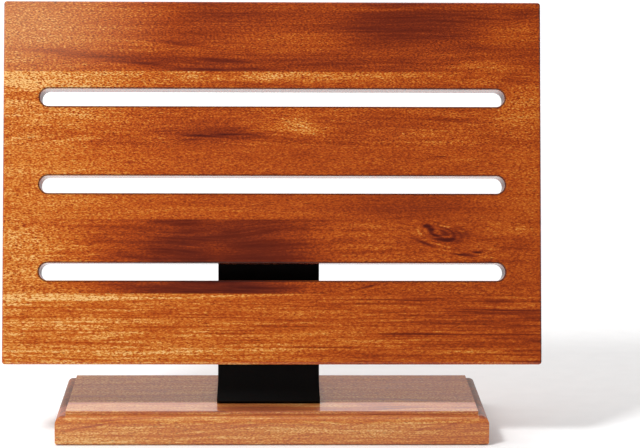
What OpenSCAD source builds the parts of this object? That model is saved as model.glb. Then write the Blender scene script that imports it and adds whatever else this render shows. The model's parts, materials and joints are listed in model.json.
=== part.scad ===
// Leaning magnetic knife board: a slotted, edge-glued acacia board with magnets inside it,
// screwed to a bent steel stand on a moulded acacia base.
// X runs along the grain, Y towards the back, Z up. The origin is under the middle of the base.

/* [Board] */
// Width of the board, along the grain
board_w = 370; // [350:5:400]
// Height of the board, measured up its slope
board_h = 250; // [240:2:270]
// Thickness of the front panel, which holds the magnets
front_t = 11; // [9.5:0.5:14]
// Thickness of the back panel, which holds the threaded inserts
back_t = 13; // [11:0.5:16]
// How far the board leans back from upright, in degrees
lean = 12; // [6:1:18]
// Clear distance from the base to the board, measured up the slope
board_gap = 27.5; // [24:0.5:40]
// Radius that the board's outer edges are eased to
board_ease = 1.5; // [0.5:0.25:3]
// Radius of the board's four corners, seen from the front
board_corner = 2.5; // [1.5:0.5:8]
// Width of a whole stave
stave_w = 51; // [46:1:54]
// How far the back panel's glue lines lie below the front panel's
glue_stagger = 4.5; // [3:0.5:6]

/* [Slots] */
// Length of each slot, end to end
slot_len = 320; // [280:5:330]
// Height of each slot
slot_h = 12; // [8:0.5:14]
// Distance from one slot's centre to the next
slot_pitch = 60; // [58:1:62]
// How far the middle slot's centre lies below the middle of the board
slot_drop = 1.5; // [0:0.5:2]
// Depth of the chamfer round each slot's rims
slot_ease = 0.7; // [0.3:0.1:1.2]

/* [Magnets] */
// Length of one magnet
magnet_len = 30; // [20:1:32]
// Height of one magnet and of the keeper strip behind it
magnet_w = 12; // [8:1:14]
// Thickness of one magnet
magnet_t = 5; // [3:0.5:5]
// Thickness of the steel keeper strip
keeper_t = 3; // [1.5:0.5:3]
// Magnets in one row
magnet_count = 10; // [6:1:10]
// Gap between one magnet and the next
magnet_gap = 3; // [1:0.5:3]
// How far the two middle rows lie from the middle of their slats, to stay inside one stave
magnet_shift = 9; // [8:0.5:10]

/* [Stand] */
// Width of the steel plate
plate_w = 70; // [60:2:80]
// Thickness of the steel plate
plate_t = 4; // [3:0.5:5]
// Radius on the outside of the plate's bend
bend_r = 6; // [5.5:0.5:9]
// Length of the foot that lies on the base
foot_len = 76; // [72:1:90]
// Height of the plate up its slope
plate_h = 140; // [134:1:142]
// Radius of the plate's free corners
plate_corner = 6; // [3:1:10]
// How much wider the plate is at each side where it meets the base
flare_w = 0.8; // [0.4:0.1:2]
// Height of the curve that the plate widens over
flare_h = 22; // [12:1:26]
// How far the plate and its screws sit to the right of the middle
plate_x = -2.5; // [-3:0.5:3]
// Where the plate's front face would meet the base, measured from the middle of the base
plate_y = -36.5; // [-44:0.5:-34]

/* [Base] */
// Width of the base, along the grain
base_w = 297; // [280:1:320]
// Depth of the base, front to back
base_d = 130; // [126:1:150]
// Thickness of the wood
base_t = 22; // [19:0.5:26]
// Depth of the front stave
base_front_stave = 34; // [28:1:38]
// Drop of the small step round the top
step_h = 2.5; // [1.5:0.25:3]
// Width of the ledge below the step
ledge_w = 1.8; // [1:0.1:2.5]
// Radius of the quarter round below the ledge
ovolo_r = 5.2; // [4:0.2:6]
// Radius that the bottom edges are eased to
base_ease = 1.5; // [0.5:0.25:2]

/* [Feet] */
// Diameter of a rubber foot
foot_d = 14; // [10:1:18]
// How far a foot stands out below the wood
foot_drop = 0.5; // [0.4:0.1:2]
// Depth of the recess that a foot is stuck into
foot_recess = 1; // [0.5:0.1:1.5]
// Distance from the base's ends to a foot's centre
foot_inset_x = 22; // [16:1:30]
// Distance from the base's long edges to a foot's centre
foot_inset_y = 20; // [16:1:26]

/* [Screws] */
// Distance between two screws, left to right
screw_pitch_x = 40; // [34:1:44]
// Height of the lower pair of screws above the board's lower edge
low_screws = 24; // [18:1:34]
// Height of the upper pair of screws above the board's lower edge
high_screws = 84; // [80:1:88]
// Diameter of a screw's head
head_d = 9.5; // [8.5:0.1:10]
// Height of a screw's head
head_h = 2.75; // [2.2:0.05:3]
// Length of a screw below its head
screw_len = 12; // [10:0.5:12.5]
// Width across the flats of a screw's socket
socket_af = 3; // [2.5:0.5:3]
// Outer diameter of a threaded insert
insert_d = 8; // [7:0.5:8]
// Length of a threaded insert
insert_len = 9; // [8.5:0.5:10]

/* [Hidden] */
$fn = 64;

golden = "#c98436";
orange = "#b5622a";
russet = "#8c4420";
black = "#161616";

screw_d = 4.9;
screw_hole_d = 5.5;
insert_bore_d = 5;
insert_hole_extra = 1;
socket_depth = 1.6;
foot_crown = 0.4;
past = 1;

board_t = front_t + back_t;
base_top = foot_drop + base_t;
mould_w = ledge_w + ovolo_r;
magnet_row_len = magnet_count * magnet_len + (magnet_count - 1) * magnet_gap;
slot_heights = [for (k = [1, 0, -1]) board_h / 2 - slot_drop + k * slot_pitch];
slat_edges = concat([board_h + slot_h / 2], slot_heights, [-slot_h / 2]);
magnet_shifts = [0, magnet_shift, -magnet_shift, 0];
magnet_heights = [for (k = [0:3]) (slat_edges[k] + slat_edges[k + 1]) / 2 + magnet_shifts[k]];
edge_stave = (board_h - 3 * stave_w) / 2;
front_glue = [board_h, for (k = [3:-1:0]) edge_stave + k * stave_w, 0];
back_glue = [board_h, for (k = [3:-1:0]) edge_stave + k * stave_w - glue_stagger, 0];
board_screw_heights = [low_screws, high_screws];
base_screw_y = [plate_y + 24, plate_y + foot_len - 14];
base_glue = [-base_d / 2, -base_d / 2 + base_front_stave, base_front_stave / 2, base_d / 2];
foot_w = plate_w + 2 * flare_w;
flare_steps = 8;

// ---- Shared shapes ----

module rounded_rectangle(w, h, r) {
    square([w - 2 * r, h], center = true);
    square([w, h - 2 * r], center = true);
    for (x = [-1, 1], y = [-1, 1])
        translate([x * (w / 2 - r), y * (h / 2 - r)]) circle(r);
}

// Stands children on the base along the plate's slope: Z runs up the slope,
// and Y = 0 is the plane where the board's back lies on the plate.
module on_slope() {
    translate([0, plate_y, base_top]) rotate([-lean, 0, 0]) children();
}

// The same frame with its origin at the board's lower edge.
module on_board() {
    on_slope() translate([0, 0, board_gap]) children();
}

// ---- Board ----

module board_blank() {
    intersection() {
        translate([0, past, board_h / 2]) rotate([90, 0, 0])
            linear_extrude(board_t + 2 * past) rounded_rectangle(board_w, board_h, board_corner);
        translate([-board_w / 2 - past, -board_t / 2, board_h / 2]) rotate([90, 0, 90])
            linear_extrude(board_w + 2 * past) rounded_rectangle(board_t, board_h, board_ease);
        translate([0, -board_t / 2, -past])
            linear_extrude(board_h + 2 * past) rounded_rectangle(board_w, board_t, board_ease);
    }
}

module slot_rim() {
    half = slot_len / 2 - slot_h / 2;
    wide = slot_h / 2 + slot_ease;
    for (x = [-half, half])
        translate([x, 0, 0]) rotate([90, 0, 0]) cylinder(h = slot_ease, r1 = slot_h / 2, r2 = wide);
    rotate([90, 0, 90]) translate([0, 0, -half]) linear_extrude(2 * half)
        polygon([[0, -slot_h / 2], [0, slot_h / 2], [-slot_ease, wide], [-slot_ease, -wide]]);
}

// One slot, centred on its height, through the board from its back at Y = 0.
module slot() {
    half = slot_len / 2 - slot_h / 2;
    translate([0, past, 0]) rotate([90, 0, 0]) linear_extrude(board_t + 2 * past) {
        square([2 * half, slot_h], center = true);
        for (x = [-half, half]) translate([x, 0]) circle(slot_h / 2);
    }
    translate([0, -board_t + slot_ease, 0]) slot_rim();
    translate([0, -slot_ease, 0]) mirror([0, 1, 0]) slot_rim();
}

module slots() {
    for (h = slot_heights) translate([0, 0, h]) slot();
}

// The channels that hold the magnets, open at the back of the front panel.
module magnet_channels() {
    depth = magnet_t + keeper_t;
    for (h = magnet_heights)
        translate([-magnet_row_len / 2, -back_t - depth, h - magnet_w / 2])
            cube([magnet_row_len, depth + past / 2, magnet_w]);
}

module insert_holes() {
    for (x = [-1, 1], h = board_screw_heights)
        translate([plate_x + x * screw_pitch_x / 2, past, h]) rotate([90, 0, 0])
            cylinder(h = insert_len + insert_hole_extra + past, d = insert_d);
}

// The part of the board blank between two heights and two depths.
module board_layer(low, high, front, back) {
    intersection() {
        board_blank();
        translate([-board_w, front, low]) cube([2 * board_w, back - front, high - low]);
    }
}

module front_stave(k) {
    on_board() difference() {
        board_layer(front_glue[k], front_glue[k - 1], -board_t - past, -back_t);
        slots();
        magnet_channels();
    }
}

module back_stave(k) {
    on_board() difference() {
        board_layer(back_glue[k], back_glue[k - 1], -back_t, past);
        slots();
        insert_holes();
    }
}

// ---- Magnets ----

module magnet_row(k) {
    front = -back_t - keeper_t - magnet_t;
    low = magnet_heights[k - 1] - magnet_w / 2;
    color("silver") on_board()
        for (n = [0:magnet_count - 1])
            translate([-magnet_row_len / 2 + n * (magnet_len + magnet_gap), front, low])
                cube([magnet_len, magnet_t, magnet_w]);
}

module keeper_strip(k) {
    color("gray") on_board()
        translate([-magnet_row_len / 2, -back_t - keeper_t, magnet_heights[k - 1] - magnet_w / 2])
            cube([magnet_row_len, keeper_t, magnet_w]);
}

// ---- Fasteners ----

// A button-head screw pointing down -Z, with the underside of its head at Z = 0.
module button_screw() {
    dome_r = (head_d * head_d / 4 + head_h * head_h) / (2 * head_h);
    translate([0, 0, -screw_len]) cylinder(h = screw_len, d = screw_d);
    difference() {
        intersection() {
            cylinder(h = head_h, d = head_d);
            translate([0, 0, head_h - dome_r]) sphere(dome_r);
        }
        translate([0, 0, head_h - socket_depth])
            cylinder(h = socket_depth + past, d = socket_af / cos(30), $fn = 6);
    }
}

// A flanged threaded insert, flush at Z = 0 and reaching down.
module threaded_insert() {
    difference() {
        translate([0, 0, -insert_len]) cylinder(h = insert_len, d = insert_d);
        translate([0, 0, -insert_len - past]) cylinder(h = insert_len + 2 * past, d = insert_bore_d);
    }
}

// Places children at the four holes in the upright, pointing out of its back.
module at_board_screws() {
    on_board() for (x = [-1, 1], h = board_screw_heights)
        translate([plate_x + x * screw_pitch_x / 2, 0, h]) rotate([-90, 0, 0]) children();
}

// Places children at the four holes in the foot, pointing up.
module at_base_screws() {
    for (x = [-1, 1], y = base_screw_y)
        translate([plate_x + x * screw_pitch_x / 2, y, base_top]) children();
}

module board_inserts() color("goldenrod") at_board_screws() threaded_insert();
module base_inserts() color("goldenrod") at_base_screws() threaded_insert();
module board_screws() color(black) at_board_screws() translate([0, 0, plate_t]) button_screw();
module base_screws() color(black) at_base_screws() translate([0, 0, plate_t]) button_screw();

// ---- Stand ----

// Side view of the bent plate: X is the depth, Y the height above the base.
module plate_side() {
    tangent = bend_r * tan((90 - lean) / 2);
    inner_r = bend_r - plate_t;
    translate([tangent, 0]) square([foot_len - tangent, plate_t]);
    rotate(-lean) translate([0, tangent]) square([plate_t, plate_h - tangent]);
    difference() {
        intersection() {
            translate([tangent, bend_r]) circle(bend_r);
            polygon([[0, 0], [tangent, 0], [tangent, bend_r],
                     [tangent * sin(lean), tangent * cos(lean)]]);
        }
        translate([tangent, bend_r]) circle(inner_r);
    }
}

// What is cut away to round the two corners of a plate w wide that ends at Y = r.
module plate_corner_cut(w, r) {
    for (x = [-1, 1]) translate([x * (w / 2 - r), 0]) difference() {
        translate([x > 0 ? 0 : -r - past, 0]) square([r + past, r + past]);
        circle(r);
    }
}

// What is cut away beside the upright, which widens in a curve towards the base.
module plate_flare_cut() {
    outside = plate_w / 2 + flare_w + past;
    curve = [for (k = [0:flare_steps])
        [plate_w / 2 + flare_w * pow(1 - k / flare_steps, 2), flare_h * k / flare_steps]];
    for (left = [0, 1]) mirror([left, 0])
        polygon(concat([[outside, 0]], curve, [[plate_w / 2, plate_h + past], [outside, plate_h + past]]));
}

module stand_plate() {
    color(black) difference() {
        translate([plate_x - foot_w / 2, plate_y, base_top]) rotate([90, 0, 90])
            linear_extrude(foot_w) plate_side();
        on_slope() translate([plate_x, plate_t + past, 0]) rotate([90, 0, 0])
            linear_extrude(plate_t + 2 * past) plate_flare_cut();
        on_slope() translate([plate_x, plate_t + past, plate_h - plate_corner]) rotate([90, 0, 0])
            linear_extrude(plate_t + 2 * past) plate_corner_cut(plate_w, plate_corner);
        translate([plate_x, plate_y + foot_len - plate_corner, base_top - past])
            linear_extrude(plate_t + 2 * past) plate_corner_cut(foot_w, plate_corner);
        at_board_screws() translate([0, 0, -past]) cylinder(h = plate_t + 2 * past, d = screw_hole_d);
        at_base_screws() translate([0, 0, -past]) cylinder(h = plate_t + 2 * past, d = screw_hole_d);
    }
}

// ---- Base ----

// The moulded section of the base, w wide, with its underside at Y = 0.
module base_section(w) {
    shoulder = base_t - step_h;
    bottom_r = base_ease;
    translate([-w / 2 + mould_w, 0]) square([w - 2 * mould_w, base_t]);
    translate([-w / 2 + ovolo_r, 0]) square([w - 2 * ovolo_r, shoulder]);
    translate([-w / 2, bottom_r]) square([w, shoulder - ovolo_r - bottom_r]);
    translate([-w / 2 + bottom_r, 0]) square([w - 2 * bottom_r, shoulder - ovolo_r]);
    for (x = [-1, 1]) {
        translate([x * (w / 2 - ovolo_r), shoulder - ovolo_r]) circle(ovolo_r);
        translate([x * (w / 2 - bottom_r), bottom_r]) circle(bottom_r);
    }
}

module base_blank() {
    intersection() {
        translate([-base_w / 2 - past, 0, foot_drop]) rotate([90, 0, 90])
            linear_extrude(base_w + 2 * past) base_section(base_d);
        translate([0, base_d / 2 + past, foot_drop]) rotate([90, 0, 0])
            linear_extrude(base_d + 2 * past) base_section(base_w);
    }
}

// Places children under the base at one foot: x and y are -1 or 1.
module at_foot(x, y) {
    translate([x * (base_w / 2 - foot_inset_x), y * (base_d / 2 - foot_inset_y), 0]) children();
}

module base_stave(k) {
    difference() {
        intersection() {
            base_blank();
            translate([-base_w, base_glue[k - 1], 0])
                cube([2 * base_w, base_glue[k] - base_glue[k - 1], 2 * base_top]);
        }
        for (x = [-1, 1], y = [-1, 1])
            at_foot(x, y) cylinder(h = foot_drop + foot_recess, d = foot_d);
        at_base_screws() translate([0, 0, -insert_len - insert_hole_extra])
            cylinder(h = insert_len + insert_hole_extra + past, d = insert_d);
    }
}

// ---- Feet ----

module rubber_foot(x, y) {
    color("#262422") at_foot(x, y) {
        cylinder(h = foot_crown, d1 = foot_d - 2 * foot_crown, d2 = foot_d);
        translate([0, 0, foot_crown]) cylinder(h = foot_drop + foot_recess - foot_crown, d = foot_d);
    }
}

color(russet) front_stave(1);  // front_stave_1
color(golden) front_stave(2);  // front_stave_2
color(orange) front_stave(3);  // front_stave_3
color(russet) front_stave(4);  // front_stave_4
color(golden) front_stave(5);  // front_stave_5
color(orange) back_stave(1);  // back_stave_1
color(russet) back_stave(2);  // back_stave_2
color(golden) back_stave(3);  // back_stave_3
color(orange) back_stave(4);  // back_stave_4
color(russet) back_stave(5);  // back_stave_5
magnet_row(1);  // magnet_row_1
magnet_row(2);  // magnet_row_2
magnet_row(3);  // magnet_row_3
magnet_row(4);  // magnet_row_4
keeper_strip(1);  // keeper_strip_1
keeper_strip(2);  // keeper_strip_2
keeper_strip(3);  // keeper_strip_3
keeper_strip(4);  // keeper_strip_4
board_inserts();
board_screws();
stand_plate();
color(golden) base_stave(1);  // base_front_stave
color(russet) base_stave(2);  // base_middle_stave
color(orange) base_stave(3);  // base_back_stave
base_inserts();
base_screws();
rubber_foot(-1, -1);  // foot_front_left
rubber_foot(1, -1);  // foot_front_right
rubber_foot(-1, 1);  // foot_back_left
rubber_foot(1, 1);  // foot_back_right
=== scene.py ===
import json
import math

import bmesh
import bpy
from mathutils import Matrix, Vector


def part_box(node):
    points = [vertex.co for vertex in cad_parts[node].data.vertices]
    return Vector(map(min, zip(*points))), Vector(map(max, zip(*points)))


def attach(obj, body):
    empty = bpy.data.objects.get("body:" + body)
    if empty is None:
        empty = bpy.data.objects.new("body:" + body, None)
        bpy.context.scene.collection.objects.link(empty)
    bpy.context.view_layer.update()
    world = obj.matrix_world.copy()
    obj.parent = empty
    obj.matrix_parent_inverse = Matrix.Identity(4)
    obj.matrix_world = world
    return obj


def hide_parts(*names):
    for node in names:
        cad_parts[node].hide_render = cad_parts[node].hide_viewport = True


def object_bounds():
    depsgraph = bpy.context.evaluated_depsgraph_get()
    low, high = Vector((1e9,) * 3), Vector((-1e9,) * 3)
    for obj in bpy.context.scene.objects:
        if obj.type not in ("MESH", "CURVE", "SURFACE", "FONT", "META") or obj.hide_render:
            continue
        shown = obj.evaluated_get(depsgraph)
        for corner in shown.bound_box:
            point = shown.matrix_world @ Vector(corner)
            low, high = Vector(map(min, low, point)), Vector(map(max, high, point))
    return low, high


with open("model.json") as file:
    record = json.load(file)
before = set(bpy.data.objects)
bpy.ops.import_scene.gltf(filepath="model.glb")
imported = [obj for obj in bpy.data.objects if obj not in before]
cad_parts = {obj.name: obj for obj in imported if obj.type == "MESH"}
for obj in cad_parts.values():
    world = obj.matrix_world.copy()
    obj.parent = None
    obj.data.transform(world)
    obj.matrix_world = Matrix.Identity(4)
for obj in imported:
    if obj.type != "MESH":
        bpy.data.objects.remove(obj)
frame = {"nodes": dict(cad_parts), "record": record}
cad_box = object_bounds()
record = frame["record"]
nodes = frame["nodes"]
MM = 0.001


# ---- Base ----
# Three strips of acacia glued edge to edge, run past a moulding cutter on all four sides and
# lacquered. The strips keep their CAD shape: an eased edge, a step, a ledge and a quarter round.

def linear(hex_code):
    """An sRGB hex colour as the linear colour that a shader wants."""
    parts = [int(hex_code[i:i + 2], 16) / 255 for i in (1, 3, 5)]
    return [p / 12.92 if p <= 0.04045 else ((p + 0.055) / 1.055) ** 2.4 for p in parts] + [1.0]


def add(tree, kind, links=None, stops=None, **settings):
    """Adds a node with its settings, its values or links by socket, and a ramp's stops."""
    new = tree.nodes.new(kind)
    for key, value in settings.items():
        setattr(new, key, value)
    for socket, value in (links or {}).items():
        if isinstance(value, bpy.types.NodeSocket):
            tree.links.new(value, new.inputs[socket])
        else:
            new.inputs[socket].default_value = value
    if stops:
        ramp = new.color_ramp.elements
        while len(ramp) < len(stops):
            ramp.new(0.5)
        for element, (place, colour) in zip(ramp, stops):
            element.position = place
            element.color = linear(colour)
    return new


def material(name, colour):
    """An empty node material, and a plain colour for the solid view."""
    made = bpy.data.materials.new(name)
    made.use_nodes = True
    made.node_tree.nodes.clear()
    made.diffuse_color = linear(colour)
    return made, made.node_tree


# From red-brown heartwood to straw-coloured sapwood, under lacquer.
ACACIA_TONES = [
    (0.00, "#4a140a"), (0.16, "#6e250d"), (0.31, "#91380e"), (0.46, "#ac4a12"),
    (0.61, "#be621d"), (0.75, "#cb7d2f"), (0.88, "#d89b4f"), (1.00, "#e5b675"),
]


def acacia(name, origin, tilt, seed, tone, drift=0.0, patches=(), marks=(), knot=None, slot=None,
           painted_veil=None, ends=None, bands=0.38, fibres=0.35, speckle=1.0, curl_and_sheen=0.4, wavy=1.0,
           painted_grey_shade=0.0, coat=0.75, gloss=0.12):
    """Lacquered acacia: straight to wavy grain from straw to red brown, glinting cells, open pores
    that read as short dark dashes, a cross-grain shimmer painted into the tone as bars, and a clear
    gloss coat over all of it.
    The pattern's own axes are the grain, the width of the board and its depth, in millimetres.
    tone runs from 0, the darkest heartwood, to 1, the palest. A patch is (x, y, rx, ry, change in
    tone, turn in degrees) and follows the grain. A mark is the same, small and sharp, and stays
    where it is. A knot is (x, y, rx, ry, turn in degrees, push on the grain in mm), and slot is
    (half length of its straight part, height, radius of its ends). Past ends, which is a half
    length, a moulding crosses the grain."""
    made, tree = material(name, "#a94c17")
    half_board = cad_box[1][0] / MM
    # How far the grain wanders, and a depth past any board's, in mm.
    wander_reach, through = 17.0, 400.0

    def noise(vector, size, detail, roughness, turn=0.0):
        """Noise stretched to a size in millimetres: its outputs, and a value of -0.5 to 0.5."""
        spread = add(tree, "ShaderNodeMapping", {
            "Vector": vector, "Location": (seed * 3.1, seed * 7.7, seed * 1.9),
            "Rotation": (0, 0, math.radians(turn)), "Scale": [1 / s for s in size]})
        whole = add(tree, "ShaderNodeTexNoise", {
            "Vector": spread.outputs[0], "Scale": 1.0, "Detail": detail,
            "Roughness": roughness}).outputs
        return whole, add(tree, "ShaderNodeMath", {
            0: whole["Fac"], 1: 0.5}, operation="SUBTRACT").outputs[0]

    def near(vector, x, y, rx, ry, turn, full, value):
        """A soft oval round (x, y): value at its middle, nothing at its edge."""
        local = add(tree, "ShaderNodeMapping", {
            "Vector": vector, "Location": (x, y, 0), "Rotation": (0, 0, math.radians(turn)),
            "Scale": (rx, ry, through)}, vector_type="TEXTURE")
        away = add(tree, "ShaderNodeVectorMath", {0: local.outputs[0]}, operation="LENGTH")
        return add(tree, "ShaderNodeMapRange", {
            "Value": away.outputs["Value"], "From Min": full, "From Max": 1.0,
            "To Min": value, "To Max": 0.0}, interpolation_type="SMOOTHSTEP").outputs[0]

    place = add(tree, "ShaderNodeTexCoord")
    surface = place.outputs["Normal"]
    place = add(tree, "ShaderNodeMapping", {
        "Vector": place.outputs["Object"], "Location": origin, "Rotation": (tilt, 0, 0),
        "Scale": (MM, MM, MM)}, vector_type="TEXTURE").outputs[0]
    # The grain wanders by a few millimetres over a hand's width, and bends round a knot.
    wander, _ = noise(place, (140, 34, 34), 2.0, 0.45)
    wander = add(tree, "ShaderNodeVectorMath", {
        0: wander["Color"], 1: (0.5, 0.5, 0.5)}, operation="SUBTRACT").outputs[0]
    grain = add(tree, "ShaderNodeVectorMath", {
        0: wander, 1: (0.0, wander_reach * wavy, wander_reach * wavy), 2: place},
        operation="MULTIPLY_ADD").outputs[0]
    if knot:
        x, y, rx, ry, turn, push = knot
        reach = near(grain, x, y, rx, ry, turn, 0.0, 1.0)
        grain = add(tree, "ShaderNodeVectorMath", {
            0: reach, 1: (0.0, push, 0.0), 2: grain}, operation="MULTIPLY_ADD").outputs[0]
    # Growth bands, 2 to 8 mm apart and a hand long; fibres, drawn over 1 mm wide so that they
    # show; cells, whose glint is drawn about 0.6 x 1.5 mm; pores, 1 mm high, not a tenth of that.
    # Streaks break up the patches, so that they read as bundles of darker or paler grain.
    _, band = noise(grain, (130, 8.0, 14), 4.0, 0.55)
    _, fibre = noise(grain, (70, 1.5, 1.7), 2.0, 0.6)
    _, cell = noise(place, (1.7, 0.65, 0.7), 1.0, 0.65, turn=-8)
    _, streak = noise(grain, (65, 2.6, 6.0), 2.0, 0.55)
    pores, pore = noise(grain, (4.5, 1.0, 1.0), 1.0, 0.6)
    # Curl: soft bars across the grain, 4 to 8 mm apart, where a broad mask lets them show. They are
    # partly the curly grain and partly its shimmer, a painted sheen.
    _, bars = noise(grain, (26, 4.4, 30), 2.0, 0.5, turn=-34)
    mask, _ = noise(place, (70, 40, 40), 1.0, 0.5)
    mask = add(tree, "ShaderNodeMapRange", {
        "Value": mask["Fac"], "From Min": 0.40, "From Max": 0.62,
        "To Min": 0.1, "To Max": 1.0}, interpolation_type="SMOOTHSTEP")
    bars = add(tree, "ShaderNodeMath", {0: bars, 1: mask.outputs[0]},
               operation="MULTIPLY").outputs[0]
    changes = [(band, bands), (fibre, fibres), (bars, curl_and_sheen)]
    if knot:
        # Four rings round the knot, 3 mm apart on its short axis, which fade outwards.
        rings = add(tree, "ShaderNodeMath", {0: reach, 1: 26.0}, operation="MULTIPLY")
        rings = add(tree, "ShaderNodeMath", {0: rings.outputs[0]}, operation="SINE")
        rings = add(tree, "ShaderNodeMath", {0: rings.outputs[0], 1: reach}, operation="MULTIPLY")
        changes.append((rings.outputs[0], 0.12))
    # The bands make the edges of patches ragged, and those of marks less so. Streaks break up a
    # patch and fibres a mark, but not the broadest patches or the finest marks.
    for ovals, laid_on, ragged, full, stripes, depth in (
            (patches, grain, 9.0, 0.15, streak, 1.3), (marks, place, 4.0, 0.0, fibre, 3.0)):
        drawn = add(tree, "ShaderNodeVectorMath", {
            0: band, 1: (0.0, ragged, 0.0), 2: laid_on}, operation="MULTIPLY_ADD").outputs[0]
        broken = add(tree, "ShaderNodeMath", {
            0: stripes, 1: depth, 2: 1.0}, operation="MULTIPLY_ADD").outputs[0]
        for x, y, rx, ry, change, turn in ovals:
            oval = near(drawn, x, y, rx, ry, turn, full, change)
            changes.append((oval, broken if 1 < ry < 20 else 1.0))
    # The tone is the sum of all of these and of a slow drift along the grain.
    across = add(tree, "ShaderNodeSeparateXYZ", {0: place}).outputs
    level = tone
    for change, gain in [(across["X"], drift / half_board)] + changes:
        level = add(tree, "ShaderNodeMath", {
            0: change, 1: gain, 2: level}, operation="MULTIPLY_ADD").outputs[0]
    # Pale wood shows its cells more than dark wood does, and there they are darker than the rest.
    lean_to = add(tree, "ShaderNodeMapRange", {
        "Value": level, "From Min": 0.4, "From Max": 0.65, "To Min": 0.5, "To Max": -1.0})
    squared = add(tree, "ShaderNodeMath", {0: cell, 1: cell}, operation="MULTIPLY")
    squared = add(tree, "ShaderNodeMath", {0: squared.outputs[0], 1: lean_to.outputs[0]},
                  operation="MULTIPLY")
    cell = add(tree, "ShaderNodeMath", {0: cell, 1: squared.outputs[0]}).outputs[0]
    glint = add(tree, "ShaderNodeMath", {0: level, 1: 2.8, 2: -0.15}, operation="MULTIPLY_ADD")
    glint = add(tree, "ShaderNodeMath", {0: cell, 1: glint.outputs[0]}, operation="MULTIPLY")
    level = add(tree, "ShaderNodeMath", {
        0: glint.outputs[0], 1: speckle, 2: level}, operation="MULTIPLY_ADD").outputs[0]
    # End grain drinks the lacquer: it turns darker and keeps less of a gloss.
    surface = add(tree, "ShaderNodeSeparateXYZ", {0: surface}).outputs
    end = add(tree, "ShaderNodeMath", {0: surface["X"], 1: surface["X"]},
              operation="MULTIPLY").outputs[0]
    if ends:
        # So does a moulding that is cut across the ends, but not the front that it stops at.
        past = add(tree, "ShaderNodeMath", {0: across["X"]}, operation="ABSOLUTE").outputs[0]
        past = add(tree, "ShaderNodeMapRange", {
            "Value": past, "From Min": ends, "From Max": ends + 0.4, "To Max": 1.0}).outputs[0]
        front = add(tree, "ShaderNodeMath", {0: surface["Y"], 1: surface["Y"]},
                    operation="MULTIPLY")
        up = add(tree, "ShaderNodeMath", {0: 1.0, 1: front.outputs[0]}, operation="SUBTRACT")
        past = add(tree, "ShaderNodeMath", {0: past, 1: up.outputs[0]}, operation="MULTIPLY")
        end = add(tree, "ShaderNodeMath", {0: end, 1: past.outputs[0]},
                  operation="MAXIMUM").outputs[0]
    level, gloss_left = [
        add(tree, "ShaderNodeMath", {0: end, 1: loss, 2: whole}, operation="MULTIPLY_ADD")
        for whole, loss in ((level, -0.4), (coat, -0.8 * coat))]
    colour = add(tree, "ShaderNodeValToRGB", {"Fac": level.outputs[0]}, ACACIA_TONES)
    colour = colour.outputs["Color"]
    dash = add(tree, "ShaderNodeMapRange", {
        "Value": pore, "From Min": 0.14, "From Max": 0.26, "To Min": 0.0, "To Max": 0.45})
    tints = [("#4a1a0a", dash.outputs[0])]
    if painted_veil:
        # A painted reflection: a pale veil mixed into the colour, where the lacquer would reflect
        # light.
        x, y, rx, ry, amount = painted_veil
        tints.append(("#d8b896", near(grain, x, y, rx, ry, 0, 0.1, amount)))
    if painted_grey_shade:
        # Painted shade and a painted grey reflection: the colour is mixed towards grey brown.
        tints.append(("#6e5638", painted_grey_shade))
    if slot:
        # Painted shade: a dark line 1 mm wide round the rim of a slot.
        straight, middle, radius = slot
        along = add(tree, "ShaderNodeMath", {0: across["X"]}, operation="ABSOLUTE").outputs[0]
        along = add(tree, "ShaderNodeMath", {0: along, 1: straight}, operation="SUBTRACT")
        along = add(tree, "ShaderNodeMath", {0: along.outputs[0], 1: 0.0}, operation="MAXIMUM")
        rise = add(tree, "ShaderNodeMath", {0: across["Y"], 1: middle}, operation="SUBTRACT")
        away = add(tree, "ShaderNodeCombineXYZ", {"X": along.outputs[0], "Y": rise.outputs[0]})
        away = add(tree, "ShaderNodeVectorMath", {0: away.outputs[0]}, operation="LENGTH")
        rim_shade, fade = [add(tree, "ShaderNodeMapRange", {
            "Value": away.outputs["Value"], "From Min": radius + inside,
            "From Max": radius + outside, "To Min": first, "To Max": last}).outputs[0]
            for inside, outside, first, last in ((0.05, 0.2, 0.0, 0.75), (0.7, 1.3, 1.0, 0.0))]
        rim_shade = add(tree, "ShaderNodeMath", {0: rim_shade, 1: fade}, operation="MULTIPLY")
        tints.append(("#1c0904", rim_shade.outputs[0]))
    for tint, amount in tints:
        colour = add(tree, "ShaderNodeMix", {
            "Factor": amount, 6: colour, 7: linear(tint)}, data_type="RGBA").outputs[2]
    bump = add(tree, "ShaderNodeBump", {
        "Height": pores["Fac"], "Strength": 0.25, "Distance": 0.08 * MM})
    rough = add(tree, "ShaderNodeMapRange", {
        "Value": fibre, "From Min": -0.2, "From Max": 0.2, "To Min": 0.36, "To Max": 0.52})
    wood = add(tree, "ShaderNodeBsdfPrincipled", {
        "Base Color": colour, "Roughness": rough.outputs[0], "Normal": bump.outputs[0],
        "IOR": 1.45, "Specular IOR Level": gloss, "Coat Weight": gloss_left.outputs[0],
        "Coat Roughness": 0.12, "Coat IOR": 1.5})
    add(tree, "ShaderNodeOutputMaterial", {"Surface": wood.outputs[0]})
    return made


def dress(node, made):
    """Gives a CAD node its material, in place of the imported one."""
    nodes[node].data.materials.clear()
    nodes[node].data.materials.append(made)


base_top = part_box("base_middle_stave")[1].z
# The flat top ends at the mouldings, and a step drops from there to a ledge. Both are in mm.
spots = [v.co for v in nodes["base_middle_stave"].data.vertices]
top_half_length = max(v.x for v in spots if v.z > base_top - 0.05 * MM) / MM
step_foot = max(v.z for v in spots if v.x > (top_half_length + 0.5) * MM) / MM
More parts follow.
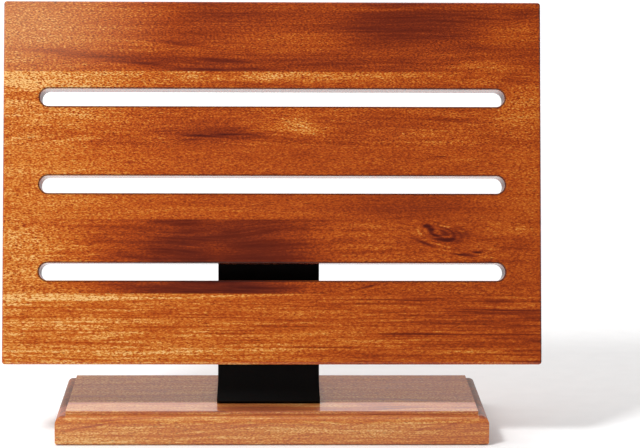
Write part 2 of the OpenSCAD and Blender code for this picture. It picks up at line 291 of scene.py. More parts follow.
# Under the board, the flat top's colour carries painted shade and a painted grey reflection, a
# grey-brown tint. It has less lacquer than the moulded front, so it is duller.
FLAT_TOP = dict(bands=0.7, fibres=1.0, speckle=1.4, curl_and_sheen=0.2, painted_grey_shade=0.4, coat=0.1, gloss=0.1)
BASE_LOOKS = {
    "base_front_stave": dict(
        seed=21, tone=0.68, drift=-0.06, bands=0.6, fibres=0.9, speckle=0.6, curl_and_sheen=0.5, wavy=0.8,
        # A pale painted reflection over the whole front.
        painted_veil=(0, 10, 700, 60, 0.12), coat=0.5,
        patches=[(-120, 17, 90, 5, 0.10, 2), (40, 18, 120, 4, 0.06, 0), (100, 6, 110, 5, -0.06, 3)],
        marks=[
            # Painted shade: darker lines along the lip and in the corner of the step.
            (0, step_foot + 2.0, 700, 0.6, -0.22, 0), (0, step_foot, 700, 0.6, -0.22, 0),
            # Streaks climb to the right across the straight grain.
            (-124, 13, 28, 1.1, -0.34, 8), (-105, 17.2, 30, 0.8, -0.24, 3),
            (-112, 15.6, 16, 0.7, 0.22, 7), (-60, 10, 30, 1.2, -0.16, 6),
            (-20, 14, 30, 1.0, -0.2, 8), (25, 8, 34, 1.0, -0.16, 7), (60, 15.5, 26, 1.0, -0.2, 9),
            (100, 11, 24, 1.0, -0.22, 12), (124, 15, 20, 0.9, -0.22, 14),
            (130, 6, 26, 1.4, -0.10, 4)]),
    # The two rear staves are darker than the front one: painted shade from the board above.
    "base_middle_stave": dict(seed=22, tone=0.60, drift=-0.12, **FLAT_TOP),
    "base_back_stave": dict(seed=23, tone=0.56, drift=-0.10, **FLAT_TOP),
}
for node, looks in BASE_LOOKS.items():
    # The front stave's pattern is laid out on its front, the others' on the top.
    front = node == "base_front_stave"
    dress(node, acacia("lacquered_acacia_" + node, (0.0, 0.0, 0.0 if front else base_top),
                       math.pi / 2 if front else 0.0, ends=top_half_length, **looks))


# ---- Feet ----
# Four bumpers of moulded rubber, pressed into shallow recesses under the base. The mould leaves
# a matt skin, a soft lower edge and a slight hollow in the sole.

def piece_of(name, mesh, made, slot, *stands_for):
    """Makes a mesh a finished piece: its material, its body and the nodes it replaces. The slot is
    not used.
    """
    mesh.materials.clear()
    mesh.materials.append(made)
    for face in mesh.polygons:
        face.material_index = 0
    new = bpy.data.objects.new(name, mesh)
    bpy.context.scene.collection.objects.link(new)
    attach(new, "root")
    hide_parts(*stands_for)


def turned(outline, steps=48, sharp=30):
    """A mesh turned round Z from (radius, height) points. A radius may be a function of the angle.
    The outline starts and ends on the axis, or else it closes on itself."""
    mesh = bmesh.new()
    rings = []
    for radius, height in outline:
        if radius == 0:
            rings.append([mesh.verts.new((0, 0, height))])
            continue
        angles = [2 * math.pi * i / steps for i in range(steps)]
        reach = [radius(a) if callable(radius) else radius for a in angles]
        rings.append([mesh.verts.new((r * math.cos(a), r * math.sin(a), height))
                      for r, a in zip(reach, angles)])
    if len(rings[0]) > 1:
        rings.append(rings[0])
    for lower, upper in zip(rings, rings[1:]):
        for i in range(steps):
            j = (i + 1) % steps
            corners = [lower[i % len(lower)], lower[j % len(lower)],
                       upper[j % len(upper)], upper[i % len(upper)]]
            mesh.faces.new(list(dict.fromkeys(corners)))
    bmesh.ops.recalc_face_normals(mesh, faces=mesh.faces)
    for face in mesh.faces:
        face.smooth = True
    made = bpy.data.meshes.new("turned")
    mesh.to_mesh(made)
    mesh.free()
    made.set_sharp_from_angle(angle=math.radians(sharp))
    return made


rubber, tree = material("moulded_rubber", "#262422")
speck = add(tree, "ShaderNodeTexNoise", {
    "Vector": add(tree, "ShaderNodeTexCoord").outputs["Object"], "Scale": 1800.0, "Detail": 3.0})
shade = add(tree, "ShaderNodeValToRGB", {"Fac": speck.outputs["Fac"]},
            [(0.3, "#1d1b1a"), (0.7, "#312e2b")])
bump = add(tree, "ShaderNodeBump", {
    "Height": speck.outputs["Fac"], "Strength": 0.4, "Distance": 0.1 * MM})
skin = add(tree, "ShaderNodeBsdfPrincipled", {
    "Base Color": shade.outputs["Color"], "Roughness": 0.72, "Normal": bump.outputs[0]})
add(tree, "ShaderNodeOutputMaterial", {"Surface": skin.outputs[0]})

for node in ("foot_front_left", "foot_front_right", "foot_back_left", "foot_back_right"):
    low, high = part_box(node)
    radius, tall, soft = (high.x - low.x) / 2, high.z - low.z, 0.5 * MM
    corner = [(radius - soft + soft * math.sin(a), soft - soft * math.cos(a))
              for a in [math.radians(15 * k) for k in range(7)]]
    sole = [(0.0, 0.25 * MM), (radius * 0.55, 0.22 * MM), (radius * 0.72, 0.0)]
    top = [(radius, tall - 0.2 * MM), (radius - 0.2 * MM, tall), (0.0, tall)]
    mesh = turned(sole + corner + top)
    mesh.transform(Matrix.Translation(((low.x + high.x) / 2, (low.y + high.y) / 2, low.z)))
    piece_of("rubber_" + node, mesh, rubber, "foot_rubber", node)


# ---- Base inserts ----
# Four brass inserts with a coarse outer thread that is driven into the wood and a fine thread
# inside for the screws. They are turned from bar, so the tool leaves faint rings on them.

def thread(core, crest, pitch):
    """A function that gives a thread's radius at a height, itself a function of the angle."""
    def at(height):
        return lambda angle: core + (crest - core) * 2 * abs(
            (height / pitch - angle / (2 * math.pi)) % 1.0 - 0.5)
    return at


def along_thread(flank, start, step, count):
    """The outline's points along a thread, from one height on in equal steps."""
    return [(flank(start + step * k), start + step * k) for k in range(count)]


INSERT = dict(radius=4.0 * MM, core=3.4 * MM, bore=2.5 * MM, length=9.0 * MM, pitch=2.0 * MM)
outer = thread(INSERT["core"], INSERT["radius"], INSERT["pitch"])
inner = thread(INSERT["bore"] + 0.3 * MM, INSERT["bore"], 0.8 * MM)
drop = INSERT["length"]
outline = [(INSERT["core"] - 0.3 * MM, -drop), (INSERT["core"], -drop + 0.3 * MM)]
outline += along_thread(outer, -drop + 0.6 * MM, 0.2 * MM, 37)
outline += [(INSERT["radius"], -0.7 * MM), (INSERT["radius"], -0.15 * MM),
            (INSERT["radius"] - 0.15 * MM, 0.0), (INSERT["bore"] + 0.5 * MM, 0.0)]
outline += along_thread(inner, -0.5 * MM, -0.16 * MM, 51)
insert_mesh = turned(outline, steps=32)

rows = bpy.data.node_groups.new("rows_of_one_part", "GeometryNodeTree")
for label, kind in (
        ("Part", "NodeSocketObject"), ("Columns", "NodeSocketInt"), ("Rows", "NodeSocketInt"),
        ("Column pitch", "NodeSocketFloat"), ("Row pitch", "NodeSocketFloat"),
        ("Middle", "NodeSocketVector"), ("Tilt", "NodeSocketFloat"),
        ("Finish", "NodeSocketMaterial")):
    rows.interface.new_socket(label, in_out="INPUT", socket_type=kind)
rows.interface.new_socket("Parts", in_out="OUTPUT", socket_type="NodeSocketGeometry")
given = add(rows, "NodeGroupInput").outputs
lines = {}
for axis, count, pitch in (("X", "Columns", "Column pitch"), ("Y", "Rows", "Row pitch")):
    gaps = add(rows, "ShaderNodeMath", {0: given[count], 1: 1.0}, operation="SUBTRACT")
    span = add(rows, "ShaderNodeMath", {0: gaps.outputs[0], 1: given[pitch]}, operation="MULTIPLY")
    start = add(rows, "ShaderNodeMath", {0: span.outputs[0], 1: -0.5}, operation="MULTIPLY")
    lines[axis] = add(rows, "GeometryNodeMeshLine", {
        "Count": given[count],
        "Start Location": add(rows, "ShaderNodeCombineXYZ", {axis: start.outputs[0]}).outputs[0],
        "Offset": add(rows, "ShaderNodeCombineXYZ", {axis: given[pitch]}).outputs[0]}).outputs[0]
grid = add(rows, "GeometryNodeInstanceOnPoints", {"Points": lines["Y"], "Instance": lines["X"]})
grid = add(rows, "GeometryNodeRealizeInstances", {0: grid.outputs[0]})
part = add(rows, "GeometryNodeObjectInfo", {"Object": given["Part"]})
laid = add(rows, "GeometryNodeInstanceOnPoints", {
    "Points": grid.outputs[0], "Instance": part.outputs["Geometry"]})
turn = add(rows, "ShaderNodeCombineXYZ", {"X": given["Tilt"]})
turn = add(rows, "FunctionNodeEulerToRotation", {0: turn.outputs[0]})
placed = add(rows, "GeometryNodeTransform", {
    "Geometry": laid.outputs[0], "Translation": given["Middle"], "Rotation": turn.outputs[0]})
whole = add(rows, "GeometryNodeRealizeInstances", {0: placed.outputs[0]})
finished = add(rows, "GeometryNodeSetMaterial", {
    "Geometry": whole.outputs[0], "Material": given["Finish"]})
add(rows, "NodeGroupOutput", {0: finished.outputs[0]})


def laid_out(mesh, columns, lines_up, column_pitch, row_pitch, middle, tilt, finish):
    """One mesh of a part repeated in columns and rows about a middle, by the node tree above."""
    sample = bpy.data.objects.new("sample", mesh)
    carrier = bpy.data.objects.new("carrier", bpy.data.meshes.new("carrier"))
    for helper in (sample, carrier):
        bpy.context.scene.collection.objects.link(helper)
    values = {"Part": sample, "Columns": columns, "Rows": lines_up, "Column pitch": column_pitch,
              "Row pitch": row_pitch, "Middle": middle, "Tilt": tilt, "Finish": finish}
    modifier = carrier.modifiers.new("rows", "NODES")
    modifier.node_group = rows
    for item in rows.interface.items_tree:
        if item.in_out == "INPUT":
            modifier[item.identifier] = values[item.name]
    seen = bpy.context.evaluated_depsgraph_get()
    made = bpy.data.meshes.new_from_object(carrier.evaluated_get(seen))
    carrier.modifiers.clear()
    for helper in (sample, carrier):
        bpy.data.objects.remove(helper)
    return made


def four_of(mesh, low, high, radius, middle, tilt, finish):
    """Four of a part in the corners of their box, given the radius of the widest part of each."""
    return laid_out(mesh, 2, 2, (high.x - low.x) - 2 * radius, (high.y - low.y) - 2 * radius,
                    middle, tilt, finish)


brass, tree = material("turned_brass", "#b08d4a")
place = add(tree, "ShaderNodeTexCoord").outputs["Object"]
# The tool's rings are 0.15 mm apart, along the inserts' own axis near enough.
rings = add(tree, "ShaderNodeMapping", {"Vector": place, "Scale": (300.0, 300.0, 6600.0)})
rings = add(tree, "ShaderNodeTexNoise", {"Vector": rings.outputs[0], "Scale": 1.0, "Detail": 2.0})
shade = add(tree, "ShaderNodeValToRGB", {"Fac": rings.outputs["Fac"]},
            [(0.3, "#a07c3c"), (0.7, "#c9a45c")])
rough = add(tree, "ShaderNodeMapRange", {
    "Value": rings.outputs["Fac"], "To Min": 0.22, "To Max": 0.42})
bump = add(tree, "ShaderNodeBump", {
    "Height": rings.outputs["Fac"], "Strength": 0.3, "Distance": 0.02 * MM})
metal = add(tree, "ShaderNodeBsdfPrincipled", {
    "Base Color": shade.outputs["Color"], "Metallic": 1.0, "Roughness": rough.outputs[0],
    "Normal": bump.outputs[0]})
add(tree, "ShaderNodeOutputMaterial", {"Surface": metal.outputs[0]})

low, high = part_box("base_inserts")
middle = Vector(((low.x + high.x) / 2, (low.y + high.y) / 2, high.z))
mesh = four_of(insert_mesh, low, high, INSERT["radius"], middle, 0.0, brass)
piece_of("base_threaded_inserts", mesh, brass, "brass", "base_inserts")


# ---- Stand plate ----
# One piece of 4 mm mild steel: laser-cut, drilled, bent once in a press brake, deburred so that
# its edges are soft, and powder-coated matt black after that.

def softened(node, width, segments=3):
    """A copy of a CAD node's mesh, merged, with every sharp edge rounded."""
    mesh = bmesh.new()
    mesh.from_mesh(nodes[node].data)
    bmesh.ops.remove_doubles(mesh, verts=mesh.verts, dist=0.005 * MM)
    bmesh.ops.dissolve_limit(
        mesh, angle_limit=math.radians(0.5), verts=mesh.verts, edges=mesh.edges)
    sharp = [e for e in mesh.edges
             if len(e.link_faces) == 2 and e.calc_face_angle(0) > math.radians(35)]
    bmesh.ops.bevel(mesh, geom=sharp, offset=width, offset_type="OFFSET", segments=segments,
                    profile=0.5, affect="EDGES", clamp_overlap=True)
    for face in mesh.faces:
        face.smooth = True
    made = bpy.data.meshes.new("softened_" + node)
    mesh.to_mesh(made)
    mesh.free()
    made.set_sharp_from_angle(angle=math.radians(30))
    return made


powder, tree = material("matt_black_powder_coat", "#0c0c0c")
place = add(tree, "ShaderNodeTexCoord").outputs["Object"]
# Orange peel: the powder melts into low bumps about 0.8 mm apart, over a finer 0.2 mm grain.
peel = add(tree, "ShaderNodeTexNoise", {"Vector": place, "Scale": 1250.0, "Detail": 2.0})
grit = add(tree, "ShaderNodeTexNoise", {"Vector": place, "Scale": 4500.0, "Detail": 1.0})
height = add(tree, "ShaderNodeMath", {
    0: grit.outputs["Fac"], 1: 0.35, 2: peel.outputs["Fac"]}, operation="MULTIPLY_ADD")
shade = add(tree, "ShaderNodeValToRGB", {"Fac": peel.outputs["Fac"]},
            [(0.3, "#010101"), (0.7, "#060606")])
bump = add(tree, "ShaderNodeBump", {
    "Height": height.outputs[0], "Strength": 0.35, "Distance": 0.12 * MM})
rough = add(tree, "ShaderNodeMapRange", {
    "Value": grit.outputs["Fac"], "To Min": 0.5, "To Max": 0.66})
coat = add(tree, "ShaderNodeBsdfPrincipled", {
    "Base Color": shade.outputs["Color"], "Roughness": rough.outputs[0],
    "Normal": bump.outputs[0], "Specular IOR Level": 0.12})
add(tree, "ShaderNodeOutputMaterial", {"Surface": coat.outputs[0]})

piece_of("bent_stand_plate", softened("stand_plate", 0.5 * MM), powder, "powder_coat",
         "stand_plate")


# ---- Base screws ----
# Four M5 button-head screws with a hex socket, through the plate's foot into the base's inserts.
# The heads are cold-forged, the threads rolled, and the steel is chemically blackened and oiled.

SCREW = dict(head=4.75 * MM, tall=2.75 * MM, flats=3.0 * MM, socket=1.6 * MM, length=12.0 * MM,
             radius=2.45 * MM, core=2.05 * MM, pitch=0.8 * MM)


def hexagon(across_flats):
    """The radius of a hexagon at each angle."""
    return lambda angle: across_flats / 2 / math.cos(angle % (math.pi / 3) - math.pi / 6)


def button_screw():
    """A screw that points down, with the underside of its head at Z = 0."""
    ball = (SCREW["head"] ** 2 + SCREW["tall"] ** 2) / (2 * SCREW["tall"])
    flank = thread(SCREW["core"], SCREW["radius"], SCREW["pitch"])
    outline = [(0.0, -SCREW["length"]), (SCREW["core"] - 0.25 * MM, -SCREW["length"]),
               (SCREW["core"], -SCREW["length"] + 0.3 * MM)]
    outline += along_thread(flank, -SCREW["length"] + 0.5 * MM, 0.16 * MM, 64)
    outline += [(SCREW["radius"], -1.2 * MM), (SCREW["radius"], -0.1 * MM),
                (SCREW["radius"] + 0.1 * MM, 0.0), (SCREW["head"] - 0.2 * MM, 0.0)]
    first = math.asin((SCREW["head"] - 0.03 * MM) / ball)
    last = math.asin(SCREW["flats"] * 0.68 / ball)
    for k in range(11):
        lean_in = first + (last - first) * k / 10
        outline.append((ball * math.sin(lean_in),
                        SCREW["tall"] - ball + ball * math.cos(lean_in)))
    rim = outline[-1][1]
    floor_at = SCREW["tall"] - SCREW["socket"]
    outline += [(hexagon(SCREW["flats"] + 0.1 * MM), rim - 0.15 * MM),
                (hexagon(SCREW["flats"]), rim - 0.25 * MM), (hexagon(SCREW["flats"]), floor_at),
                (0.9 * MM, floor_at), (0.0, floor_at - 0.25 * MM)]
    return turned(outline, steps=24)


black_oxide, tree = material("oiled_black_oxide", "#1a1a1c")
place = add(tree, "ShaderNodeTexCoord").outputs["Object"]
# The bath leaves a faint mottle, 1.5 mm across, and forging a fine 0.3 mm tooth.
mottle = add(tree, "ShaderNodeTexNoise", {"Vector": place, "Scale": 650.0, "Detail": 2.0})
tooth = add(tree, "ShaderNodeTexNoise", {"Vector": place, "Scale": 3300.0, "Detail": 2.0})
shade = add(tree, "ShaderNodeValToRGB", {"Fac": mottle.outputs["Fac"]},
            [(0.3, "#101013"), (0.7, "#242327")])
rough = add(tree, "ShaderNodeMapRange", {
    "Value": mottle.outputs["Fac"], "To Min": 0.24, "To Max": 0.48})
bump = add(tree, "ShaderNodeBump", {
    "Height": tooth.outputs["Fac"], "Strength": 0.25, "Distance": 0.03 * MM})
metal = add(tree, "ShaderNodeBsdfPrincipled", {
    "Base Color": shade.outputs["Color"], "Metallic": 0.7, "Roughness": rough.outputs[0],
    "Normal": bump.outputs[0]})
add(tree, "ShaderNodeOutputMaterial", {"Surface": metal.outputs[0]})

screw_mesh = button_screw()
low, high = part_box("base_screws")
middle = Vector(((low.x + high.x) / 2, (low.y + high.y) / 2, high.z - SCREW["tall"]))
mesh = four_of(screw_mesh, low, high, SCREW["head"], middle, 0.0, black_oxide)
piece_of("base_button_screws", mesh, black_oxide, "black_oxide", "base_screws")


# ---- Back panel ----
# Five staves of acacia glued edge to edge, the rear layer of the board. It holds the threaded
# inserts, and closes the channels that are milled into the front panel for the magnets.

# A slot's round end, and the half length of its straight part, in mm.
SLOT_RADIUS, SLOT_STRAIGHT = 6.0, 154.0
knife_face = next(m for m in record["mounts"] if m["name"] == "knife_face")
normal = Vector(knife_face["axis"])
lean = math.atan2(normal.z, -normal.y)
uphill = Vector((0.0, normal.z, -normal.y))
on_face = Vector(knife_face["pos_m"])


def leaning_box(node):
    """A node's lowest and highest corners along the board: across, up its slope, out of its face,
    measured from the mount's point."""
    spots = [v.co - on_face for v in nodes[node].data.vertices]
    spots = [(s.x, s.dot(uphill), s.dot(normal)) for s in spots]
    return [Vector([pick(s[i] for s in spots) for i in range(3)]) for pick in (min, max)]


def on_board(x, up, out):
    """A point of the board's own axes in the frame of the whole object."""
    return on_face + Vector((x, 0, 0)) + uphill * up + normal * out


lower_edge = leaning_box("front_stave_5")[0].y
board_origin = on_board(0.0, lower_edge, 0.0)
board_tilt = math.pi / 2 - lean


def slot_of(stave):
    """The slot through a stave, in mm: the half length of its straight part, how far its middle is
    above the board's lower edge, and the radius of its ends."""
    low, high = leaning_box(stave)
    rim = [(v.co - on_face).dot(uphill) for v in nodes[stave].data.vertices
           if (v.co - on_face).dot(normal) > -0.1 * MM]
    rim = [h for h in rim if low.y + MM < h < high.y - MM]
    return SLOT_STRAIGHT, ((min(rim) + max(rim)) / 2 - lower_edge) / MM, SLOT_RADIUS


slots = {k: slot_of(f"front_stave_{k}") for k in (2, 3, 4)}
BACK_LOOKS = {
    1: dict(seed=11, tone=0.58, patches=[(60, 235, 120, 14, -0.2, 0), (-120, 222, 60, 10, 0.15, 0)]),
    2: dict(seed=12, tone=0.42, patches=[(-90, 165, 90, 12, 0.2, 0), (120, 172, 60, 20, 0.2, 0)]),
    3: dict(seed=13, tone=0.62, patches=[(20, 106, 140, 7, -0.22, 1), (-150, 128, 60, 9, 0.15, 0)]),
    4: dict(seed=14, tone=0.36, patches=[(130, 80, 80, 20, 0.26, 0), (-150, 60, 50, 18, 0.2, 0)]),
    5: dict(seed=15, tone=0.54, patches=[(-40, 22, 130, 4, -0.22, -1), (110, 34, 80, 6, 0.2, 0)]),
}
for k, looks in BACK_LOOKS.items():
    dress(f"back_stave_{k}", acacia(f"lacquered_acacia_back_{k}", board_origin, board_tilt,
                                    slot=slots.get(k), **looks))


# ---- Board inserts ----
# Four more brass inserts of the same kind, driven into the back panel.

low, high = leaning_box("board_inserts")
middle = on_board((low.x + high.x) / 2, (low.y + high.y) / 2, low.z)
# The rows' own Z axis points out of the board's back.
back_tilt = -math.pi / 2 - lean
mesh = four_of(insert_mesh, low, high, INSERT["radius"], middle, back_tilt, brass)
piece_of("board_threaded_inserts", mesh, brass, "brass", "board_inserts")


# ---- Keeper strips ----
# Four bars of mild steel behind the magnets, which turn their pull towards the front. They are
# cut from cold-rolled bar, so they show fine lines along their length and a thin film of oil.

keeper, tree = material("cold_rolled_mild_steel", "#8b8c8e")
place = add(tree, "ShaderNodeTexCoord").outputs["Object"]
# Rolling lines, 0.2 mm apart and 60 mm long.
lines = add(tree, "ShaderNodeMapping", {"Vector": place, "Scale": (16.0, 5000.0, 5000.0)})
lines = add(tree, "ShaderNodeTexNoise", {"Vector": lines.outputs[0], "Scale": 1.0, "Detail": 3.0})
shade = add(tree, "ShaderNodeValToRGB", {"Fac": lines.outputs["Fac"]},
            [(0.3, "#77787a"), (0.7, "#a3a4a6")])
rough = add(tree, "ShaderNodeMapRange", {
    "Value": lines.outputs["Fac"], "To Min": 0.26, "To Max": 0.46})
metal = add(tree, "ShaderNodeBsdfPrincipled", {
    "Base Color": shade.outputs["Color"], "Metallic": 1.0, "Roughness": rough.outputs[0],
    "Anisotropic": 0.4})
add(tree, "ShaderNodeOutputMaterial", {"Surface": metal.outputs[0]})
for k in range(1, 5):
    node = f"keeper_strip_{k}"
    piece_of(f"steel_keeper_{k}", softened(node, 0.3 * MM, 2), keeper, "mild_steel", node)


# ---- Magnets ----
# Four rows of ten neodymium blocks, sintered, tumbled until their edges are round, and plated
# with nickel. They are glued into the channels side by side, 3 mm apart.

nickel, tree = material("nickel_plate", "#c9c6bf")
place = add(tree, "ShaderNodeTexCoord").outputs["Object"]
# Plating keeps the tumbled surface's low pits, about 0.6 mm apart.
pits = add(tree, "ShaderNodeTexNoise", {"Vector": place, "Scale": 1600.0, "Detail": 2.0})
shade = add(tree, "ShaderNodeValToRGB", {"Fac": pits.outputs["Fac"]},
            [(0.3, "#b9b5ac"), (0.7, "#d6d3cc")])
rough = add(tree, "ShaderNodeMapRange", {
    "Value": pits.outputs["Fac"], "To Min": 0.14, "To Max": 0.3})
bump = add(tree, "ShaderNodeBump", {
    "Height": pits.outputs["Fac"], "Strength": 0.2, "Distance": 0.03 * MM})
metal = add(tree, "ShaderNodeBsdfPrincipled", {
    "Base Color": shade.outputs["Color"], "Metallic": 1.0, "Roughness": rough.outputs[0],
    "Normal": bump.outputs[0]})
add(tree, "ShaderNodeOutputMaterial", {"Surface": metal.outputs[0]})

MAGNETS, MAGNET_GAP, MAGNET_ROUND = 10, 3.0 * MM, 0.5 * MM


def block(size, rounding):
    """A block with all its edges rounded."""
    mesh = bmesh.new()
    bmesh.ops.create_cube(mesh, size=1.0, matrix=Matrix.Diagonal((*size, 1.0)))
    bmesh.ops.bevel(mesh, geom=list(mesh.edges), offset=rounding, offset_type="OFFSET",
                    segments=3, profile=0.5, affect="EDGES", clamp_overlap=True)
    for face in mesh.faces:
        face.smooth = True
    made = bpy.data.meshes.new("block")
    mesh.to_mesh(made)
    mesh.free()
    return made


for k in range(1, 5):
    node = f"magnet_row_{k}"
    low, high = leaning_box(node)
    length = (high.x - low.x - (MAGNETS - 1) * MAGNET_GAP) / MAGNETS
    middle = on_board(*((low + high) / 2))
    magnet = block((length, high.y - low.y, high.z - low.z), MAGNET_ROUND)
    mesh = laid_out(magnet, MAGNETS, 1, length + MAGNET_GAP, 0.0, middle, board_tilt, nickel)
    piece_of(f"neodymium_row_{k}", mesh, nickel, "nickel", node)


# ---- Front panel ----
# Five wider staves, glued over the magnets and then to the back panel. The two layers are slotted
# together with a 12 mm router cutter, eased, sanded, and sprayed with clear gloss lacquer.
# Each stave is from another plank, so each has its own colour, streaks and figure.

FRONT_LOOKS = {
    # Pale to the left, dark and even to the right, with dark streaks along its lower edge.
    1: dict(
        # A pale painted reflection in the top left corner.
        seed=1, tone=0.295, curl_and_sheen=0.3, wavy=0.6, speckle=1.3, painted_veil=(-190, 235, 130, 60, 0.18),
        patches=[
            (-190, 228, 165, 70, 0.32, 0), (95, 236, 80, 26, -0.16, 0), (5, 222, 75, 10, 0.12, 0),
            (165, 226, 40, 14, 0.15, 0), (-100, 209, 105, 9, -0.12, -4),
            (-45, 241, 60, 6, -0.08, 0), (150, 204, 45, 5, 0.18, 0), (60, 246, 60, 3, 0.08, 0)],
        marks=[
            (-152, 215, 36, 2.2, -0.15, -2), (-125, 212, 40, 2.6, -0.16, -3),
            (-90, 207, 42, 2.0, -0.16, -4), (-55, 203, 44, 2.0, -0.16, -2),
            (-105, 219, 34, 1.6, -0.12, -3), (-66, 221, 44, 2.0, -0.14, -6),
            (-35, 209, 34, 2.2, -0.14, -5), (-165, 206, 32, 3.0, -0.12, 0),
            (-15, 203, 44, 2.0, -0.12, 0), (60, 232, 60, 2.0, -0.10, -2)]),
    # Golden, with a bright curly band above the slot and a dark spot below it.
    2: dict(
        seed=2, tone=0.42, curl_and_sheen=0.7, speckle=1.15, fibres=0.45,
        patches=[
            (-190, 200, 230, 16, 0.30, 0), (40, 199, 130, 9, 0.16, 0),
            (-190, 168, 130, 60, 0.25, 0), (-42, 156, 50, 9, -0.20, 0),
            (22, 161, 30, 9, 0.14, 0), (80, 166, 42, 14, -0.08, 0),
            (130, 170, 45, 3, -0.14, -1), (172, 178, 30, 30, 0.12, 0), (95, 160, 50, 4, 0.08, 0)],
        marks=[(-48, 157, 22, 1.6, -0.24, -2), (-56, 154, 12, 1.2, -0.2, 3),
               (-30, 158, 18, 1.0, -0.18, 0), (-75, 160, 25, 0.9, -0.12, 2)]),
    # Even, with fine pores and two short dark marks.
    3: dict(
        seed=3, tone=0.40, bands=0.2, curl_and_sheen=0.2, fibres=0.2, speckle=0.9,
        patches=[
            (-190, 125, 150, 80, 0.26, 0), (95, 112, 75, 26, -0.12, 0),
            (185, 120, 45, 60, 0.08, 0), (-60, 104, 65, 4, 0.08, 0)],
        marks=[(115, 143, 9, 1.1, -0.30, 0), (-98, 139, 8, 1.1, -0.25, 0)]),
    # Golden at its left end, then dark heartwood, then orange with a small knot.
    4: dict(
        seed=4, tone=0.41, curl_and_sheen=0.4, fibres=0.28, knot=(114, 90, 30, 13, -16, 5.0),
        patches=[
            (-190, 75, 90, 70, 0.28, 0), (-38, 76, 110, 60, -0.25, 0), (-66, 82, 34, 30, -0.08, 0),
            (-5, 78, 44, 40, -0.08, 0), (-62, 52, 78, 9, -0.16, 0), (-5, 52, 44, 7, -0.12, 0),
            (75, 80, 32, 18, 0.06, 0), (165, 92, 30, 8, 0.05, 0)],
        marks=[
            (119, 90, 18, 8, -0.18, -8), (130, 90, 15, 6, -0.14, -5), (107, 94, 7, 3.2, -0.4, -35),
            (101, 90, 5, 3.6, 0.16, -30), (112, 88, 9, 2.8, -0.2, -20), (121, 85, 14, 2.6, -0.36, -3),
            (119.5, 94.2, 8, 1.0, 0.36, -5), (113, 91.5, 3.2, 2.8, 0.18, -40),
            (117.5, 87.6, 6, 0.9, 0.3, 0), (130, 91.3, 4, 0.9, 0.26, 0),
            (116, 81.4, 12, 1.0, 0.22, -16), (104, 83, 14, 2.2, -0.24, -24),
            (122, 77.4, 18, 1.0, 0.28, -9), (132, 75.6, 22, 1.6, -0.4, -7),
            (144, 74.2, 16, 1.0, 0.3, -4), (141, 76.9, 6, 1.0, -0.44, 0),
            (152, 79.5, 7, 3, 0.22, -5), (140, 82, 18, 5, 0.08, -8), (156, 71, 30, 2.2, -0.2, -2),
            (64, 53, 22, 1.2, -0.3, 14), (-170, 95, 2.4, 1.8, -0.5, 0)]),
    # Golden to the left and along its lower edge, red brown to the right, with long streaks.
    5: dict(
        seed=5, tone=0.505, drift=-0.17, curl_and_sheen=0.35, wavy=0.3, bands=0.5, fibres=1.0, speckle=0.8,
        patches=[
            (-120, 46, 165, 4, 0.20, 0), (-80, 28.4, 150, 2.4, 0.10, 0),
            (-90, 19.4, 130, 2, 0.10, 0), (95, 21, 90, 2.2, -0.14, 0),
            (-60, 9, 190, 5, 0.12, 0), (150, 6, 60, 9, 0.20, 0), (150, 34, 60, 9, -0.08, 0)],
        marks=[
            (-150, 36, 50, 4, -0.12, 0), (-74, 36, 24, 3.2, -0.12, 0),
            (-75, 32, 115, 0.9, -0.18, 0), (-140, 23.6, 60, 1.3, -0.2, 0),
            (-25, 23.4, 40, 0.7, -0.18, 0), (-130, 14.6, 62, 1.2, -0.18, 0),
            (-165, 15.5, 22, 1.8, -0.12, 0), (20, 41, 100, 0.8, -0.12, 0),
            (60, 12, 110, 0.9, -0.12, 0), (110, 29, 70, 1.0, -0.12, 0)]),
}
for k, looks in FRONT_LOOKS.items():
    dress(f"front_stave_{k}", acacia(f"lacquered_acacia_front_{k}", board_origin, board_tilt,
                                     slot=slots.get(k), **looks))


# ---- Board screws ----
# Four screws of the same kind, through the upright into the inserts in the board's back.

low, high = leaning_box("board_screws")
middle = on_board((low.x + high.x) / 2, (low.y + high.y) / 2, low.z + SCREW["tall"])
mesh = four_of(screw_mesh, low, high, SCREW["head"], middle, back_tilt, black_oxide)
piece_of("board_button_screws", mesh, black_oxide, "black_oxide", "board_screws")


# ---- Stage, light and camera ----
# A wide pale floor that meets a white surround, a softbox near the front left that casts the one
# shadow, and a long lens a little above the board.

paper, tree = material("pale_matt_floor", "#f7f7f6")
tooth = add(tree, "ShaderNodeTexNoise", {
    "Vector": add(tree, "ShaderNodeTexCoord").outputs["Object"], "Scale": 60.0, "Detail": 2.0})
shade = add(tree, "ShaderNodeValToRGB", {"Fac": tooth.outputs["Fac"]},
            [(0.3, "#f6f6f6"), (0.7, "#f9f9f9")])
# Painted light: the sheet glows of itself, faintly near the object and more towards the back, so that
# it fades into the white surround.
behind = add(tree, "ShaderNodeSeparateXYZ", {
    0: add(tree, "ShaderNodeTexCoord").outputs["Object"]}).outputs["Y"]
behind = add(tree, "ShaderNodeMapRange", {
    "Value": behind, "From Min": 0.2, "From Max": 2.0, "To Min": 0.035, "To Max": 0.32})
sheet = add(tree, "ShaderNodeBsdfPrincipled", {
    "Base Color": shade.outputs["Color"], "Roughness": 0.9, "Specular IOR Level": 0.1,
    "Emission Color": (1, 1, 1, 1), "Emission Strength": behind.outputs[0]})
add(tree, "ShaderNodeOutputMaterial", {"Surface": sheet.outputs[0]})
FLOOR_HALF = 15.0
floor_mesh = bpy.data.meshes.new("floor")
floor_mesh.from_pydata([(x * FLOOR_HALF, y * FLOOR_HALF, 0)
                        for x, y in ((-1, -1), (1, -1), (1, 1), (-1, 1))], [], [(0, 1, 2, 3)])
floor_mesh.materials.append(paper)
floor = bpy.data.objects.new("floor", floor_mesh)
bpy.context.scene.collection.objects.link(floor)

world = bpy.data.worlds.new("white_studio")
bpy.context.scene.world = world
world.use_nodes = True
tree = world.node_tree
tree.nodes.clear()
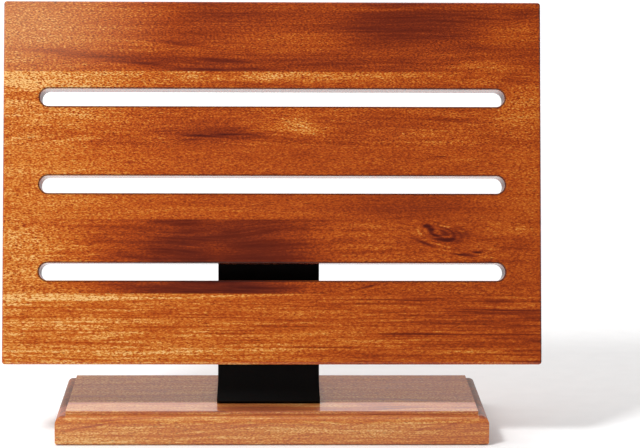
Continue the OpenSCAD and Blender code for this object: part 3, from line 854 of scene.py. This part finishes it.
# White all round, but dim behind the camera and to the right, so that the lacquer isn't veiled.
way = add(tree, "ShaderNodeTexCoord").outputs["Generated"]
ROOM_LIGHT, SEEN_WHITE = 1.3, 1.05
strength = ROOM_LIGHT
for side, start, stop, rest in (((0.0, -0.94, 0.34), 0.35, 0.85, 0.04),
                                ((0.98, 0.0, 0.2), 0.45, 0.9, 0.3)):
    facing = add(tree, "ShaderNodeVectorMath", {0: way, 1: side}, operation="DOT_PRODUCT")
    dim = add(tree, "ShaderNodeMapRange", {
        "Value": facing.outputs["Value"], "From Min": start, "From Max": stop,
        "To Min": 1.0, "To Max": rest}, interpolation_type="SMOOTHSTEP")
    strength = add(tree, "ShaderNodeMath", {0: dim.outputs[0], 1: strength},
                   operation="MULTIPLY").outputs[0]
seen = add(tree, "ShaderNodeLightPath").outputs["Is Camera Ray"]
strength = add(tree, "ShaderNodeMix", {
    "Factor": seen, 2: strength, 3: SEEN_WHITE}, data_type="FLOAT")
glow = add(tree, "ShaderNodeBackground", {
    "Color": (1, 1, 1, 1), "Strength": strength.outputs[0]})
add(tree, "ShaderNodeOutputWorld", {"Surface": glow.outputs[0]})

box_light = bpy.data.lights.new("softbox", "AREA")
box_light.shape = "SQUARE"
box_light.size = 0.3
box_light.energy = 17.0
key = bpy.data.objects.new("softbox", box_light)
key.location = (-0.72, -0.91, 1.2)
aim = Vector((0.05, 0.0, 0.1)) - key.location
key.rotation_euler = aim.to_track_quat("-Z", "Y").to_euler()
bpy.context.scene.collection.objects.link(key)

CAMERA_PLACE = (-0.0105, -1.7983, 0.4260)
TURN_RIGHT, TILT_DOWN, ROLL = 1.40, 8.93, 0.30
lens = bpy.data.cameras.new("camera")
lens.lens = 146.2
lens.sensor_width = 36.0
lens.clip_end = 100.0
camera = bpy.data.objects.new("camera", lens)
camera.matrix_world = Matrix.Translation(CAMERA_PLACE)
for angle, axis in ((-TURN_RIGHT, "Z"), (90.0 - TILT_DOWN, "X"), (ROLL, "Z")):
    camera.matrix_world = camera.matrix_world @ Matrix.Rotation(math.radians(angle), 4, axis)
bpy.context.scene.collection.objects.link(camera)
bpy.context.scene.camera = camera
bpy.context.scene.view_settings.view_transform = "Standard"
